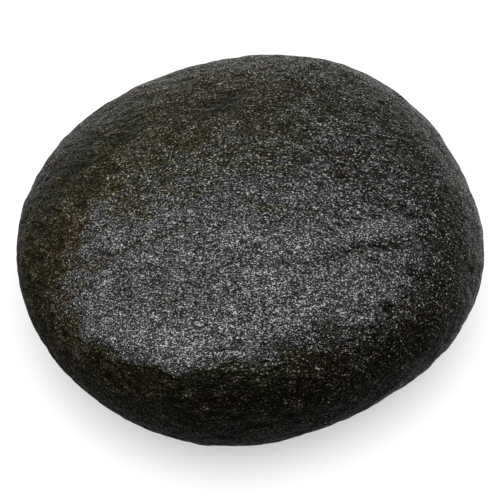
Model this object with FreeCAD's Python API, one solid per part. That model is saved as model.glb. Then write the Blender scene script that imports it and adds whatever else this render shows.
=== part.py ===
"""Basalt massage stone: one tumbled pebble with a flat worn underside, in millimetres.

The origin is on the underside, below the middle of the stone. +X runs along the stone, +Y towards
its back and +Z up out of its crown.
"""

import FreeCAD, Part
import math
import os

from FreeCAD import Vector

# Driving dimensions
LENGTH = 80.0  # overall, along X
WIDTH = 77.5  # overall, along Y
THICKNESS = 33.0  # from the flat underside to the highest point of the crown
WAIST_SHARE = 0.44  # height of the widest level, as a share of the thickness
RESTING_SHARE = 0.34  # radius of the flat underside, as a share of the outline's

# Plan outline: gentle waves round an even circle. Each is how many waves go round, how high they
# are as a share of the radius, and the direction of a crest in degrees from +X towards +Y.
OUTLINE_WAVES = [
    (2, 0.021, 45.0),  # the oval leans along one diagonal
    (3, 0.006, -21.0),
    (4, 0.0145, -15.0),  # four soft corners
    (5, 0.0065, -18.0),
]

# Section: one superellipse above the waist and one below. An exponent of 2 is an ellipse, and a
# larger one gives a flatter face with a tighter shoulder. The crown's exponent varies round the
# stone in waves, given as the outline's are.
CROWN_EXPONENT = 2.2
SHOULDER_WAVES = [
    (1, 0.25, 290.0),  # fullest at the front
    (2, 0.15, 65.0),
    (3, 0.10, 35.0),
]
UNDERSIDE_EXPONENT = 2.55

# Worn relief: the middle of each swell or hollow, how far it reaches and how high it stands.
RELIEF = [
    (Vector(-13.0, -34.0, 24.0), 8.0, 1.3),  # corner of the shoulder at the front left
    (Vector(5.0, -34.0, 26.0), 9.0, -0.5),  # planed stretch of the front shoulder
    (Vector(-8.0, -20.0, 31.0), 9.0, -0.35),  # shallow dish in the crown
]

# Net of control points
COLUMNS = 48  # round the stone
UNDERSIDE_ROWS = 9  # from the flat underside up to the waist
CROWN_ROWS = 14  # from the waist up to the top
DEGREE = 3


def waves(mean, crests, angle):
    """A value that rises and falls in waves round the stone."""
    swings = [height * math.cos(count * (angle - math.radians(crest))) for count, height, crest in crests]
    return mean + sum(swings)


def form_point(angle, spread, height):
    """A point at a share of the outline's radius and a share of the thickness."""
    radius = spread * waves(1.0, OUTLINE_WAVES, angle)
    x = radius * math.cos(angle) * LENGTH / 2
    y = radius * math.sin(angle) * WIDTH / 2
    return Vector(x, y, height * THICKNESS)


def underside_point(angle, climb):
    """Point below the waist. The climb goes from 0 on the flat underside's edge to 1 at the waist."""
    power = 2 / UNDERSIDE_EXPONENT
    drop = math.pi / 2 * (1 - climb)
    spread = RESTING_SHARE + (1 - RESTING_SHARE) * max(math.cos(drop), 0.0) ** power
    return form_point(angle, spread, WAIST_SHARE * (1 - math.sin(drop) ** power))


def crown_point(angle, climb):
    """Point above the waist. The climb goes from 0 at the waist to 1 at the top."""
    power = 2 / waves(CROWN_EXPONENT, SHOULDER_WAVES, angle)
    rise = math.pi / 2 * climb
    spread = max(math.cos(rise), 0.0) ** power
    return form_point(angle, spread, WAIST_SHARE + (1 - WAIST_SHARE) * math.sin(rise) ** power)


def worn(point):
    """The point moved outwards by the swells, or inwards by the hollows, that reach it."""
    flatness = (LENGTH / THICKNESS) ** 2
    outward = Vector(point.x, point.y, (point.z - WAIST_SHARE * THICKNESS) * flatness)
    lift = sum(height * math.exp(-(((point - middle).Length / reach) ** 2)) for middle, reach, height in RELIEF)
    return point + outward.normalize() * lift


def control_net():
    """Columns of control points round the stone, each from the flat underside up to the top."""
    net = []
    for column in range(COLUMNS):
        angle = 2 * math.pi * column / COLUMNS
        points = [underside_point(angle, row / UNDERSIDE_ROWS) for row in range(UNDERSIDE_ROWS)]
        points += [worn(crown_point(angle, row / CROWN_ROWS)) for row in range(CROWN_ROWS + 1)]
        # Two level rows at each end: the skin leaves the flat underside and crosses the top smoothly.
        points[1].z = points[0].z
        points[-2].z = points[-1].z
        net.append(points)
    return net


def skin(net):
    """Smooth face over a net: closed round the stone, and clamped at its lowest and highest rows."""
    spans = len(net[0]) - DEGREE
    surface = Part.BSplineSurface()
    surface.buildFromPolesMultsKnots(
        net,
        [1] * (COLUMNS + 1),
        [DEGREE + 1] + [1] * (spans - 1) + [DEGREE + 1],
        list(range(COLUMNS + 1)),
        list(range(spans + 1)),
        True,
        False,
        DEGREE,
        DEGREE,
    )
    return surface.toShape()


def full_size(net):
    """The net scaled and centred so that its skin has the stone's overall sizes."""
    box = skin(net).optimalBoundingBox(False, False)
    middle = Vector(box.Center.x, box.Center.y, box.ZMin)
    scale = Vector(LENGTH / box.XLength, WIDTH / box.YLength, THICKNESS / box.ZLength)
    sized = []
    for points in net:
        offsets = [point - middle for point in points]
        sized.append([Vector(p.x * scale.x, p.y * scale.y, p.z * scale.z) for p in offsets])
    return sized


def stone():
    """The closed pebble: its skin, and the flat underside that closes it."""
    side = skin(full_size(control_net()))
    rims = [edge for edge in side.Edges if not edge.Degenerated]
    lowest = min(rims, key=lambda edge: edge.BoundBox.ZMax)
    underside = Part.Face(Part.Wire([lowest]))
    underside.reverse()
    return Part.Solid(Part.Shell([side, underside]))


def main():
    os.makedirs("parts", exist_ok=True)
    stone().exportStep("parts/stone.step")


main()
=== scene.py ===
import math

import bpy
import numpy as np
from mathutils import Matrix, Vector, noise
from mathutils.bvhtree import BVHTree


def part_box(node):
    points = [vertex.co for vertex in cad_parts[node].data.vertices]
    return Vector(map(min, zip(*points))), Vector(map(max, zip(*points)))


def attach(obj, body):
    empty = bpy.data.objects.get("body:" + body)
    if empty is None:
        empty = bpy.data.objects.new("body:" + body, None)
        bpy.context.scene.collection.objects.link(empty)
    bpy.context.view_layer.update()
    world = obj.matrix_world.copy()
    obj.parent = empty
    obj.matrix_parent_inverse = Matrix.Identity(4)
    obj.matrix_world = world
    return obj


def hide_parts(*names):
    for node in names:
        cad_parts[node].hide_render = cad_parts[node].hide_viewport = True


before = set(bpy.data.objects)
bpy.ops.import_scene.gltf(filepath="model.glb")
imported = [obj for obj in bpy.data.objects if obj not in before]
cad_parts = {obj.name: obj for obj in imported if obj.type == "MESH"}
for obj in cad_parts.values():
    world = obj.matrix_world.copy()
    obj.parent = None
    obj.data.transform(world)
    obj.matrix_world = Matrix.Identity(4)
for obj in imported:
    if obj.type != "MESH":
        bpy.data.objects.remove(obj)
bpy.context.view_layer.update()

# All lengths are in metres unless their comment says otherwise.
MM = 0.001
LOW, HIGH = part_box("stone")
MIDDLE = (LOW + HIGH) / 2
SIZE = HIGH - LOW

# The camera looks down on the front of the stone from this height and distance.
CAMERA_ELEVATION = math.radians(54.0)
CAMERA_DISTANCE = 450 * MM
CAMERA_SENSOR = 36.0  # millimetres
CAMERA_LENS = 189.4  # millimetres
AIM_DROP = 2.7 * MM  # how far below the stone's middle the camera aims, across its view

# Mesh of the stone
GRID = 128  # squares along each of the six sides of the net laid over the stone
FAIRING_PASSES = 14

# Relief all over the stone: how broad its swells are and how high they stand
BROAD, BROAD_HEIGHT = 15 * MM, 0.16 * MM
LUMP, LUMP_HEIGHT = 5 * MM, 0.23 * MM
DENT, DENT_HEIGHT = 1.5 * MM, 0.09 * MM

# Creases seen from above, in millimetres: points along the line, width, depth (a ridge's is negative)
CREASES = [
    ([(-26, -15), (-20, -12.4), (-16, -11.4), (-9, -8.8)], 0.9, 0.36),
    ([(-28, 2.5), (-24, 0.3), (-21, -1.5), (-19, -4.5)], 1.0, 0.16),
    ([(8, -17.6), (14, -15), (18, -12.8), (24, -10.8), (33, -7)], 1.0, 0.40),
    ([(17, -3.0), (22, -3.8), (26.3, -4.7), (31, -4.4)], 0.8, 0.26),
    ([(13, 1.6), (20.6, 0.6), (26, -0.8)], 0.7, 0.12),
    ([(-10.7, -7.1), (-6.2, -5.1), (-2, -4.4), (2.3, -5.4), (6.6, -8.5)], 0.6, 0.10),
    ([(0.5, -21), (0.0, -25), (0.8, -31)], 0.5, 0.12),
    ([(-28.5, -22), (-27.5, -25), (-26, -27.5)], 0.4, -0.14),
    ([(4.5, 23.5), (8, 27), (13, 31)], 0.7, -0.40),
]

# Swells, hollows and pits seen from above, in millimetres: middle X and Y, half length, half width, turn
# from +X in degrees, height
MOUNDS = [
    (22, -8.9, 7.5, 1.6, 14, 0.34),
    (-16.8, -9.6, 5.5, 1.4, 24, 0.26),
    (-24, -7.5, 2.5, 4, -20, 0.08),
    (-18, -30, 9, 2.6, -32, 0.8),
    (-12, -32.5, 4, 1.8, -20, 0.25),
    (-8, -21.5, 8, 5, 20, -0.22),
    (-2.9, 18, 6, 4, 0, -0.18),
    (9, 21, 6, 3, 10, -0.16),
    (18.7, 11.4, 8, 4, -10, 0.14),
    (22.5, -21.7, 1.3, 0.9, 10, -0.6),
    (17.5, -23.5, 0.9, 0.6, 0, -0.4),
    (25.5, -19.5, 0.8, 0.6, 30, -0.4),
    (14, -21.5, 0.7, 0.5, 0, -0.35),
    (11, -26.5, 3.5, 1.3, 14, -0.22),
    (27, -15.5, 1.4, 0.9, 0, -0.4),
    (4, -30.5, 3, 1.2, 5, -0.2),
]

# Edge of the pale top, partly wear and partly a painted highlight, seen from above: angle from +X in degrees,
# distance from the middle and half width of the change, in millimetres
PALE_TOP_EDGE = [
    (0, 31, 7), (60, 25, 6), (110, 24, 6), (140, 23, 5), (180, 26, 6), (192, 28.5, 7), (205, 33, 6),
    (215, 36, 3), (225, 36.3, 2), (240, 36.5, 1.2), (252, 35.5, 1.6), (264, 33, 2.5), (285, 31, 3.5),
    (320, 32.5, 4), (340, 33, 6.5),
]

# Patterns of the material: how broad one swell of each is
GRAIN = 0.20 * MM  # one crystal and the gap beside it
GLINT = 0.28 * MM
RIPPLE = 0.45 * MM
STREAK = 0.55 * MM
HAMMER = 1.6 * MM  # shallow dents
RAGGED = 2.2 * MM  # ragged edges of the pale top, both wear and painted highlight
BEND = 9 * MM  # winding of the ripples and streaks
BEND_REACH = 3 * MM
PATCH = 12 * MM  # patches of stain

GRAIN_STRETCH = (0.72, 1.0, 1.0)  # crystals are longer along X
FLOW_STRETCH = (0.7, 1.0, 1.0)
STREAK_STRETCH = (0.3, 1.0, 1.0)
STREAK_TURN = 0.45  # radians from +X towards -Y
BUMP_HEIGHT = 0.18 * MM
GLOSS_BUMP_HEIGHT = 0.08 * MM


def greys(*stops):
    """Stops of a colour ramp from pairs of place and grey."""
    return [(place, (value, value, value)) for place, value in stops]


# Reflectance of the crystals, from the unworn sides, darkest in painted shade low on the front,
# to the palest, the worn top's painted highlight
CRYSTAL_BY_WEAR_AND_LIGHT = greys(
    (0.0, 0.022), (0.06, 0.05), (0.24, 0.115), (0.48, 0.30), (0.68, 0.53), (0.80, 0.76), (1.0, 0.90),
)
GAP_BY_WEAR_AND_LIGHT = greys((0.02, 0.10), (0.5, 0.03))  # as a share of the crystals
SHADE_BY_GRAIN = greys((0.48, 0.0), (0.57, 0.10), (0.665, 1.0))  # 0 in a gap, 1 on a crystal
CLEAN_BY_WEAR_AND_LIGHT = greys((0.16, 0.0), (0.50, 1.0))  # 0 where stained
CLEAN_ACROSS = 7.0  # the stain thins towards the right as though the wear and painted light rose by this much a metre
STAINED_CRYSTAL = [(0.40, (1.20, 1.12, 0.42)), (0.55, (1.30, 1.04, 0.40)), (0.68, (1.32, 0.95, 0.60))]
STAINED_GAP = [(0.40, (1.15, 1.12, 0.28)), (0.55, (1.26, 1.06, 0.28)), (0.68, (1.65, 0.92, 0.36))]
# Grey of bare crystals, a little bluish like the painted highlight on the top
PALE = (0.97, 1.0, 1.03)

# Painted glints: near-white specks put in the base colour, more on the highlit top and fewer low down
GLINT_COLOUR = (0.90, 0.88, 0.80)
GLINT_BY_NOISE = greys((0.62, 0.0), (0.70, 1.0))
GLINT_BY_WEAR_AND_LIGHT = greys((0.03, 0.10), (0.25, 0.50), (0.4, 0.55))
GLINT_BY_HEIGHT = greys((0.2, 0.15), (0.7, 1.0))  # place 1 is 20 mm above the floor

STREAK_ACROSS = greys((0.0, 0.1), (0.35, 1.7))  # place 1 is far past the right rim
HAMMER_BY_WEAR = greys((0.1, 2.5), (0.35, 7.0))
HAMMER_GLOSS = 7.0
RIPPLE_RISE = 1.5

ROUGH_BY_GRAIN = greys((0.45, 0.95), (0.60, 0.40))
ROUGH_BY_WEAR = greys((0.0, 0.60), (0.25, 1.0))
COAT_BY_GRAIN = greys((0.50, 0.0), (0.62, 1.0))
FILM_ACROSS = greys((0.3, 0.0), (0.8, 0.03))
FILM_BY_WEAR = greys((0.22, 1.0), (0.40, 0.0))
ACROSS_GAIN = 25.0  # takes X in metres to a place on a ramp
HEIGHT_GAIN = 50.0  # takes Z in metres to a place on a ramp

# Lamps over the stone: place, width and watts
OVERHEAD = ((-0.02, -0.02, 0.62), 0.35, 2.85)
BEHIND = ((0.06, 0.38, 0.50), 0.22, 0.8)
FLOOR_REACH = 4.0
FLOOR_WASH = 3.0
FLOOR_SHADE = 1.2
FLOOR_LIGHT_SPREAD = math.radians(120)

# What the stone mirrors of the room, by how far up or down it lies
MIRRORED_BEHIND = [
    (0.0, (1.2, 1.2, 1.2)),
    (0.03, (0.28, 0.27, 0.25)),
    (0.06, (0.06, 0.057, 0.05)),
    (0.25, (0.03, 0.03, 0.03)),
]
MIRRORED_BEFORE = [
    (0.15, (0.008, 0.007, 0.004)),
    (0.55, (0.018, 0.015, 0.010)),
    (0.95, (0.18, 0.185, 0.185)),
]
BEHIND_SHARE = greys((0.25, 0.0), (0.85, 1.0))
BEHIND_TURN = 0.3  # the pale side lies a little to the right
AMBIENT = greys((0.0, 0.30), (0.05, 0.10))


# ---------------------------------------------------------------- mesh of the stone


def net_directions():
    """Corners and faces of a cube's six square nets, as unit directions shared along the edges."""
    steps = np.tan(np.linspace(-1, 1, GRID + 1) * math.pi / 4)
    index = {}
    corners = []
    faces = []
    sides = [(axis, sign) for axis in range(3) for sign in (-1, 1)]
    for axis, sign in sides:
        ids = np.empty((GRID + 1, GRID + 1), int)
        for i in range(GRID + 1):
            for j in range(GRID + 1):
                place = [0.0, 0.0, 0.0]
                place[axis] = float(sign)
                place[(axis + 1) % 3] = steps[i]
                place[(axis + 2) % 3] = steps[j]
                key = tuple(round(value, 6) for value in place)
                if key not in index:
                    index[key] = len(corners)
                    corners.append(place)
                ids[i, j] = index[key]
        quads = np.stack([ids[:-1, :-1], ids[1:, :-1], ids[1:, 1:], ids[:-1, 1:]], axis=-1).reshape(-1, 4)
        faces.append(quads if sign > 0 else quads[:, ::-1])
    corners = np.array(corners)
    return corners / np.linalg.norm(corners, axis=1, keepdims=True), np.concatenate(faces)


def laid_on_stone(directions):
    """Where rays from the middle of the CAD stone along the directions leave it."""
    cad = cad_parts["stone"].data
    tree = BVHTree.FromPolygons([v.co for v in cad.vertices], [p.vertices for p in cad.polygons])
    stretched = directions * np.array(SIZE)
    return np.array([tree.ray_cast(MIDDLE, Vector(ray).normalized())[0] for ray in stretched])


def neighbour_mean(points, faces):
    """Mean of each point's neighbours along the edges of the faces."""
    total = np.zeros_like(points)
    count = np.zeros(len(points))
    for corner in range(4):
        here, there = faces[:, corner], faces[:, (corner + 1) % 4]
        np.add.at(total, here, points[there])
        np.add.at(count, here, 1)
        np.add.at(total, there, points[here])
        np.add.at(count, there, 1)
    return total / count[:, None]


def normals_of(points, faces):
    """Unit normal at each point."""
    across = points[faces[:, 2]] - points[faces[:, 0]]
    along = points[faces[:, 3]] - points[faces[:, 1]]
    face_normals = np.cross(across, along)
    total = np.zeros_like(points)
    for corner in range(4):
        np.add.at(total, faces[:, corner], face_normals)
    return total / np.linalg.norm(total, axis=1, keepdims=True)


def swells(points, size, octaves, seed):
    """Fractal noise at each point, about -1 to 1, with its broadest swells size across."""
    shift = Vector((17.3, -9.1, 5.7)) * seed
    return np.array([noise.fractal(Vector(p) / size + shift, 1.0, 2.0, octaves) for p in points])


def smooth_step(values, low, high):
    """0 below low, 1 above high, and a smooth rise between them."""
    share = np.clip((values - low) / (high - low), 0, 1)
    return share * share * (3 - 2 * share)


def along_line(points, line):
    """Distance of each point from a line seen from above, and how far along it is."""
    plan = points[:, :2]
    best = np.full(len(plan), np.inf)
    share = np.zeros(len(plan))
    stops = np.array(line) * MM
    lengths = np.linalg.norm(np.diff(stops, axis=0), axis=1)
    start = 0.0
    for a, b, length in zip(stops[:-1], stops[1:], lengths):
        run = (b - a) / length
        offset = plan - a
        where = np.clip(offset @ run, 0, length)
        distance = np.linalg.norm(offset - where[:, None] * run, axis=1)
        nearer = distance < best
        best[nearer] = distance[nearer]
        share[nearer] = ((start + where) / lengths.sum())[nearer]
        start += length
    return best, share


def crease(points, line, width, depth):
    """Height of a groove along a line, deepest halfway and fading out at its ends, in millimetres."""
    distance, share = along_line(points, line)
    fade = np.sin(np.pi * np.clip(share, 0.02, 0.98)) ** 0.7
    return -depth * fade * np.exp(-((distance / (width * MM)) ** 2))


def mound(points, x, y, long, wide, turn, height):
    """Height of an oval swell or hollow, its long axis turned from +X, in millimetres."""
    dx, dy = points[:, 0] / MM - x, points[:, 1] / MM - y
    c, s = math.cos(math.radians(turn)), math.sin(math.radians(turn))
    u, v = (dx * c + dy * s) / long, (-dx * s + dy * c) / wide
    return height * np.exp(-(u * u + v * v))


def marks(points, normals):
    """Height of the creases, swells and hollows of the top at each point, in millimetres."""
    height = sum(crease(points, *each) for each in CREASES) + sum(mound(points, *each) for each in MOUNDS)
    return height * smooth_step(normals[:, 2], 0.05, 0.45)


def pale_top(points):
    """Share of the pale top at each point, partly rubbed and partly a painted highlight: 1 well inside its
    edge, 0 outside.
    """
    angle = np.degrees(np.arctan2(points[:, 1], points[:, 0])) % 360
    radius = np.hypot(points[:, 0], points[:, 1])
    angles, edges, blends = np.array(PALE_TOP_EDGE).T
    edge = np.interp(angle, angles, edges, period=360) * MM + 0.8 * MM * swells(points, 6 * MM, 2, 4)
    blend = np.interp(angle, angles, blends, period=360) * MM
    return (1 - smooth_step(radius, edge - blend, edge + blend)) * smooth_step(points[:, 2], 14 * MM, 18 * MM)


def wear_and_light_of(points, cut, lumps, dents):
    """Paleness from rubbing and painted light: about 0 in painted shade low on the front, 1 on the palest,
    highlit top.
    """
    x, y = points[:, 0] / MM, points[:, 1] / MM
    top = pale_top(points)
    # Painted highlight: the top is paler towards the front, where the overhead lamp's sheen lies.
    frontward_highlight = np.clip(0.56 - y / 50, 0.28, 1.0)
    # Off the top the skin is paler at the back than low on the front, and darker at the left and right
    # shoulders: partly the stone's own tone, partly painted shade.
    aside = 0.34 * smooth_step(y - 0.5 * x, -38, -4)
    aside -= 0.20 * smooth_step(-x, 4, 26) * smooth_step(y, -10, 6)
    aside -= 0.25 * smooth_step(x, 6, 28) * smooth_step(y, -15, 0)
    # Marks and relief tint the paleness: creases, pits and hollows darker, swells and raised lumps paler; wear
    # on the highs, painted shade in the hollows.
    return top * frontward_highlight + (1 - top) * aside + cut * (0.2 + top) + 0.20 * lumps + 0.32 * dents


def stone_mesh():
    """The stone as a closed mesh: the CAD form made fair, with its relief, and its skin's paleness from rubbing
    and painted light.
    """
    directions, faces = net_directions()
    points = laid_on_stone(directions)
    for _ in range(FAIRING_PASSES):
        points = (points + neighbour_mean(points, faces)) / 2
    normals = normals_of(points, faces)
    broad = swells(points, BROAD, 2, 1)
    lumps = swells(points, LUMP, 3, 2)
    dents = swells(points * (0.5, 1, 1), DENT, 3, 3)
    cut = marks(points, normals)
    skin_paleness = wear_and_light_of(points, cut, lumps, dents)
    height = BROAD_HEIGHT * broad + LUMP_HEIGHT * lumps + DENT_HEIGHT * dents + cut * MM
    raised = points + normals * height[:, None]
    # The relief fades out towards the resting face, which stays flat.
    share = smooth_step(points[:, 2], 0.1 * MM, 1.5 * MM)[:, None]
    points = points * (1 - share) + raised * share
    points[:, 2] = np.maximum(points[:, 2], 0)
    mesh = bpy.data.meshes.new("stone")
    mesh.from_pydata(points.tolist(), [], faces.tolist())
    mesh.validate()
    mesh.shade_smooth()
    # Paleness of the skin from wear and painted highlight and shade, read by the material.
    mesh.attributes.new("wear_and_painted_light", "FLOAT", "POINT").data.foreach_set("value", skin_paleness)
    return mesh


# ---------------------------------------------------------------- material


class Nodes:
    """Short way to add and join the nodes of one tree."""

    def __init__(self, tree):
        self.tree = tree
        tree.nodes.clear()

    def add(self, kind, inputs=None, **settings):
        """A new node with its settings made and its inputs given."""
        made = self.tree.nodes.new(kind)
        for name, value in settings.items():
            setattr(made, name, value)
        for name, value in (inputs or {}).items():
            self.give(made, name, value)
        return made

    def give(self, made, name, value):
        """Link a socket to an input, or set the input to a plain value."""
        socket = made.inputs[name]
        if isinstance(value, bpy.types.NodeSocket):
            self.tree.links.new(value, socket)
        else:
            socket.default_value = value

    def noise(self, place, size, detail=2.0, roughness=0.5, distortion=0.0):
        """Noise with swells about size metres across, 0 to 1."""
        inputs = {"Vector": place, "Scale": 1 / size, "Detail": detail, "Roughness": roughness}
        return self.add("ShaderNodeTexNoise", {**inputs, "Distortion": distortion}).outputs["Fac"]

    def ramp(self, value, stops):
        """A colour or grey looked up along stops of (place, colour)."""
        made = self.add("ShaderNodeValToRGB", {"Fac": value})
        ramp = made.color_ramp
        while len(ramp.elements) < len(stops):
            ramp.elements.new(0.5)
        for element, (place, colour) in zip(ramp.elements, stops):
            element.position = place
            element.color = (*colour, 1.0)
        return made.outputs["Color"]

    def math(self, operation, a, b):
        """One step of arithmetic on two numbers."""
        made = self.add("ShaderNodeMath", operation=operation)
        self.give(made, 0, a)
        self.give(made, 1, b)
        return made.outputs[0]

    def plus(self, *values):
        """All the numbers added up."""
        total = values[0]
        for value in values[1:]:
            total = self.math("ADD", total, value)
        return total

    def times(self, a, b):
        """The product of two numbers."""
        return self.math("MULTIPLY", a, b)

    def centred(self, value):
        """A noise moved from 0 to 1 to lie evenly about 0."""
        return self.math("SUBTRACT", value, 0.5)

    def scaled(self, colour, gain):
        """A colour or place times another, part by part."""
        made = self.add("ShaderNodeVectorMath", operation="MULTIPLY")
        self.give(made, 0, colour)
        self.give(made, 1, gain)
        return made.outputs[0]

    def mix(self, share, a, b):
        """Colour a where the share is 0 and b where it is 1."""
        made = self.add("ShaderNodeMix", data_type="RGBA")
        self.tree.links.new(share, made.inputs[0])
        for socket, value in ((made.inputs[6], a), (made.inputs[7], b)):
            if isinstance(value, bpy.types.NodeSocket):
                self.tree.links.new(value, socket)
            else:
                socket.default_value = (*value, 1.0)
        return made.outputs[2]


def winding(nodes, place):
    """The place, bent so that patterns laid on it wind a little."""
    bend = nodes.add("ShaderNodeTexNoise", {"Vector": place, "Scale": 1 / BEND, "Detail": 1.0}).outputs["Color"]
    made = nodes.add("ShaderNodeVectorMath", operation="ADD")
    nodes.give(made, 0, nodes.scaled(place, FLOW_STRETCH))
    nodes.give(made, 1, nodes.scaled(bend, (BEND_REACH, BEND_REACH, BEND_REACH)))
    return made.outputs[0]


def streaked(nodes, flow, reach):
    """Long thin streaks, slanting across the flow and strongest on the right, about 0."""
    turned = nodes.add("ShaderNodeVectorRotate", {"Vector": flow, "Angle": STREAK_TURN}, rotation_type="Z_AXIS")
    streaks = nodes.noise(nodes.scaled(turned.outputs[0], STREAK_STRETCH), STREAK, 2.0, 0.5)
    return nodes.times(nodes.centred(streaks), nodes.ramp(reach, STREAK_ACROSS))


def skin_colour(nodes, place, wear_and_painted_light, bared_and_lit, grain, upward):
    """Base colour: crystals and gaps toned by rubbing and painted light, stained where less rubbed and less
    highlit, with a few painted glints.
    """
    patches = nodes.noise(place, PATCH, 3.0, 0.6)
    clean_and_lit = nodes.ramp(bared_and_lit, CLEAN_BY_WEAR_AND_LIGHT)
    # Painted highlight and shade in the base colour: crystals palest on the top, darkest low on the front
    tone = nodes.ramp(wear_and_painted_light, CRYSTAL_BY_WEAR_AND_LIGHT)
    crystal = nodes.scaled(tone, nodes.mix(clean_and_lit, nodes.ramp(patches, STAINED_CRYSTAL), PALE))
    gap = nodes.scaled(tone, nodes.ramp(wear_and_painted_light, GAP_BY_WEAR_AND_LIGHT))
    gap = nodes.scaled(gap, nodes.mix(clean_and_lit, nodes.ramp(patches, STAINED_GAP), PALE))
    colour = nodes.mix(nodes.ramp(grain, SHADE_BY_GRAIN), gap, crystal)
    # Painted glints in the base colour
    glints = nodes.ramp(nodes.noise(place, GLINT, 1.0, 0.5), GLINT_BY_NOISE)
    glints = nodes.times(glints, nodes.ramp(bared_and_lit, GLINT_BY_WEAR_AND_LIGHT))
    glints = nodes.times(glints, nodes.ramp(nodes.times(upward, HEIGHT_GAIN), GLINT_BY_HEIGHT))
    return nodes.mix(glints, colour, GLINT_COLOUR)


def basalt():
    """Dark basalt, lightly oiled: pale crystals and near-black gaps on the rubbed top's painted highlight,
    brown elsewhere.
    """
    material = bpy.data.materials.new("basalt")
    material.use_nodes = True
    nodes = Nodes(material.node_tree)
    place = nodes.scaled(nodes.add("ShaderNodeTexCoord").outputs["Object"], GRAIN_STRETCH)
    parts = nodes.add("ShaderNodeSeparateXYZ", {"Vector": place}).outputs
    reach = nodes.times(parts["X"], ACROSS_GAIN)
    flow = winding(nodes, place)

    # Paleness of the skin from wear and painted highlight and shade, carried on the mesh.
    wear_and_painted_light = nodes.add("ShaderNodeAttribute", attribute_name="wear_and_painted_light").outputs["Fac"]
    ragged = nodes.centred(nodes.noise(place, RAGGED, 3.0, 0.6))
    wear_and_painted_light = nodes.plus(nodes.times(wear_and_painted_light, 0.8), nodes.times(ragged, 0.22), streaked(nodes, flow, reach))
    bared_and_lit = nodes.plus(wear_and_painted_light, nodes.times(parts["X"], CLEAN_ACROSS))
    ripples = nodes.centred(nodes.noise(flow, RIPPLE, 2.0, 0.5))
    grain = nodes.plus(nodes.noise(place, GRAIN, 3.0, 0.6, 0.3), nodes.times(ripples, 0.25))
    colour = skin_colour(nodes, place, wear_and_painted_light, bared_and_lit, grain, parts["Z"])

    dents = nodes.noise(place, HAMMER, 2.0, 0.5, 0.3)
    rise = nodes.times(ripples, RIPPLE_RISE)
    height = nodes.plus(grain, rise, nodes.times(dents, nodes.ramp(wear_and_painted_light, HAMMER_BY_WEAR)))
    soft = nodes.plus(rise, nodes.times(dents, HAMMER_GLOSS))
    bump = nodes.add("ShaderNodeBump", {"Strength": 1.0, "Distance": BUMP_HEIGHT, "Height": height})
    gloss = nodes.add("ShaderNodeBump", {"Strength": 1.0, "Distance": GLOSS_BUMP_HEIGHT, "Height": soft})

    rough = nodes.times(nodes.ramp(grain, ROUGH_BY_GRAIN), nodes.ramp(wear_and_painted_light, ROUGH_BY_WEAR))
    film = nodes.times(nodes.ramp(reach, FILM_ACROSS), nodes.ramp(wear_and_painted_light, FILM_BY_WEAR))
    shader = nodes.add("ShaderNodeBsdfPrincipled", {
        "Base Color": colour,
        "Roughness": rough,
        "Normal": bump.outputs["Normal"],
        "IOR": 1.2,
        "Coat Weight": nodes.math("MAXIMUM", nodes.ramp(grain, COAT_BY_GRAIN), film),
        "Coat Roughness": 0.3,
        "Coat Normal": gloss.outputs["Normal"],
    })
    out = nodes.add("ShaderNodeOutputMaterial")
    nodes.tree.links.new(shader.outputs[0], out.inputs["Surface"])
    return material


def make_stone():
    """The stone, in the place of its CAD node."""
    piece = bpy.data.objects.new("basalt_stone", stone_mesh())
    bpy.context.scene.collection.objects.link(piece)
    piece.data.materials.append(basalt())
    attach(piece, "root")
    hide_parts("stone")
    return piece


# ---------------------------------------------------------------- stage


def make_floor():
    """Plain pale floor, which the stone neither mirrors nor is lit by."""
    mesh = bpy.data.meshes.new("floor")
    corners = [(x * FLOOR_REACH, y * FLOOR_REACH, 0) for x, y in ((-1, -1), (1, -1), (1, 1), (-1, 1))]
    mesh.from_pydata(corners, [], [(0, 1, 2, 3)])
    floor = bpy.data.objects.new("floor", mesh)
    bpy.context.scene.collection.objects.link(floor)
    material = bpy.data.materials.new("floor_paper")
    material.use_nodes = True
    shader = material.node_tree.nodes["Principled BSDF"]
    shader.inputs["Base Color"].default_value = (0.92, 0.92, 0.92, 1)
    shader.inputs["Roughness"].default_value = 0.9
    shader.inputs["Specular IOR Level"].default_value = 0.1
    mesh.materials.append(material)
    floor.visible_glossy = False
    floor.visible_diffuse = False
    return floor


def make_world():
    """The room: white to the camera, dim and even for the light it casts, and pale low down behind and dark
    in front for what the stone mirrors."""
    world = bpy.data.worlds.new("studio")
    world.use_nodes = True
    bpy.context.scene.world = world
    nodes = Nodes(world.node_tree)
    heading = nodes.add("ShaderNodeTexCoord").outputs["Generated"]
    parts = nodes.add("ShaderNodeSeparateXYZ", {"Vector": heading}).outputs
    down = nodes.times(parts["Z"], -1.0)
    back = nodes.plus(parts["Y"], nodes.times(parts["X"], BEHIND_TURN))
    behind = nodes.ramp(parts["Z"], MIRRORED_BEHIND)
    mirrored = nodes.mix(nodes.ramp(back, BEHIND_SHARE), nodes.ramp(down, MIRRORED_BEFORE), behind)
    rays = nodes.add("ShaderNodeLightPath").outputs
    colour = nodes.mix(rays["Is Diffuse Ray"], mirrored, nodes.ramp(parts["Z"], AMBIENT))
    colour = nodes.mix(rays["Is Camera Ray"], colour, (1.0, 1.0, 1.0))
    background = nodes.add("ShaderNodeBackground", {"Color": colour, "Strength": 1.0})
    out = nodes.add("ShaderNodeOutputWorld")
    nodes.tree.links.new(background.outputs[0], out.inputs["Surface"])


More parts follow.
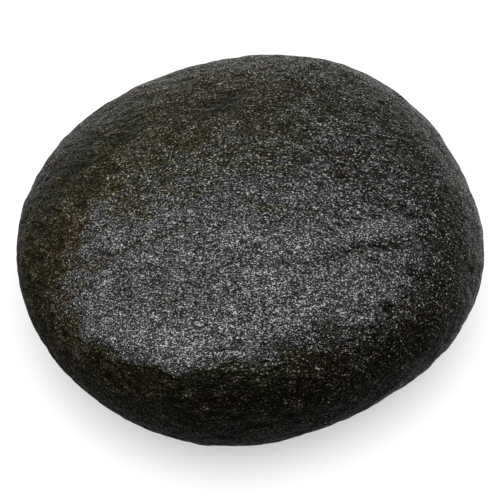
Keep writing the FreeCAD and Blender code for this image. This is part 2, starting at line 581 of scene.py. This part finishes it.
def light_only(light, piece):
    """Let a light fall on one object and no other."""
    lit = bpy.data.collections.new(light.name + "_falls_on")
    lit.objects.link(piece)
    light.light_linking.receiver_collection = lit


def area_light(name, place, width, watts):
    """A round soft light at a place, facing the stone's middle."""
    data = bpy.data.lights.new(name, "AREA")
    data.shape = "DISK"
    data.size = width
    data.energy = watts
    light = bpy.data.objects.new(name, data)
    bpy.context.scene.collection.objects.link(light)
    light.location = place
    light.rotation_euler = (MIDDLE - Vector(place)).to_track_quat("-Z", "Y").to_euler()
    return light


def floor_light(name, strength, floor):
    """Soft light from straight above that falls on the floor only."""
    data = bpy.data.lights.new(name, "SUN")
    data.energy = strength
    data.angle = FLOOR_LIGHT_SPREAD
    light = bpy.data.objects.new(name, data)
    bpy.context.scene.collection.objects.link(light)
    light_only(light, floor)
    return light


def make_lights(stone, floor):
    """Two soft lights on the stone and two on the floor, of which the stone shades only the second."""
    light_only(area_light("overhead", *OVERHEAD), stone)
    behind = area_light("behind", *BEHIND)
    behind.visible_glossy = False
    light_only(behind, stone)
    wash = floor_light("floor_wash", FLOOR_WASH, floor)
    wash.light_linking.blocker_collection = wash.light_linking.receiver_collection
    floor_light("floor_shade", FLOOR_SHADE, floor)


def make_camera():
    """Camera at the front, aimed a little below the stone's middle."""
    outward = Vector((0, -math.cos(CAMERA_ELEVATION), math.sin(CAMERA_ELEVATION)))
    upward = Vector((0, math.sin(CAMERA_ELEVATION), math.cos(CAMERA_ELEVATION)))
    data = bpy.data.cameras.new("camera")
    data.lens = CAMERA_LENS
    data.sensor_width = CAMERA_SENSOR
    data.clip_start = 10 * MM
    camera = bpy.data.objects.new("camera", data)
    bpy.context.scene.collection.objects.link(camera)
    camera.location = MIDDLE - upward * AIM_DROP + outward * CAMERA_DISTANCE
    camera.rotation_euler = (-outward).to_track_quat("-Z", "Y").to_euler()
    bpy.context.scene.camera = camera


make_camera()
basalt_stone = make_stone()
make_world()
make_lights(basalt_stone, make_floor())
bpy.context.scene.view_settings.view_transform = "Standard"
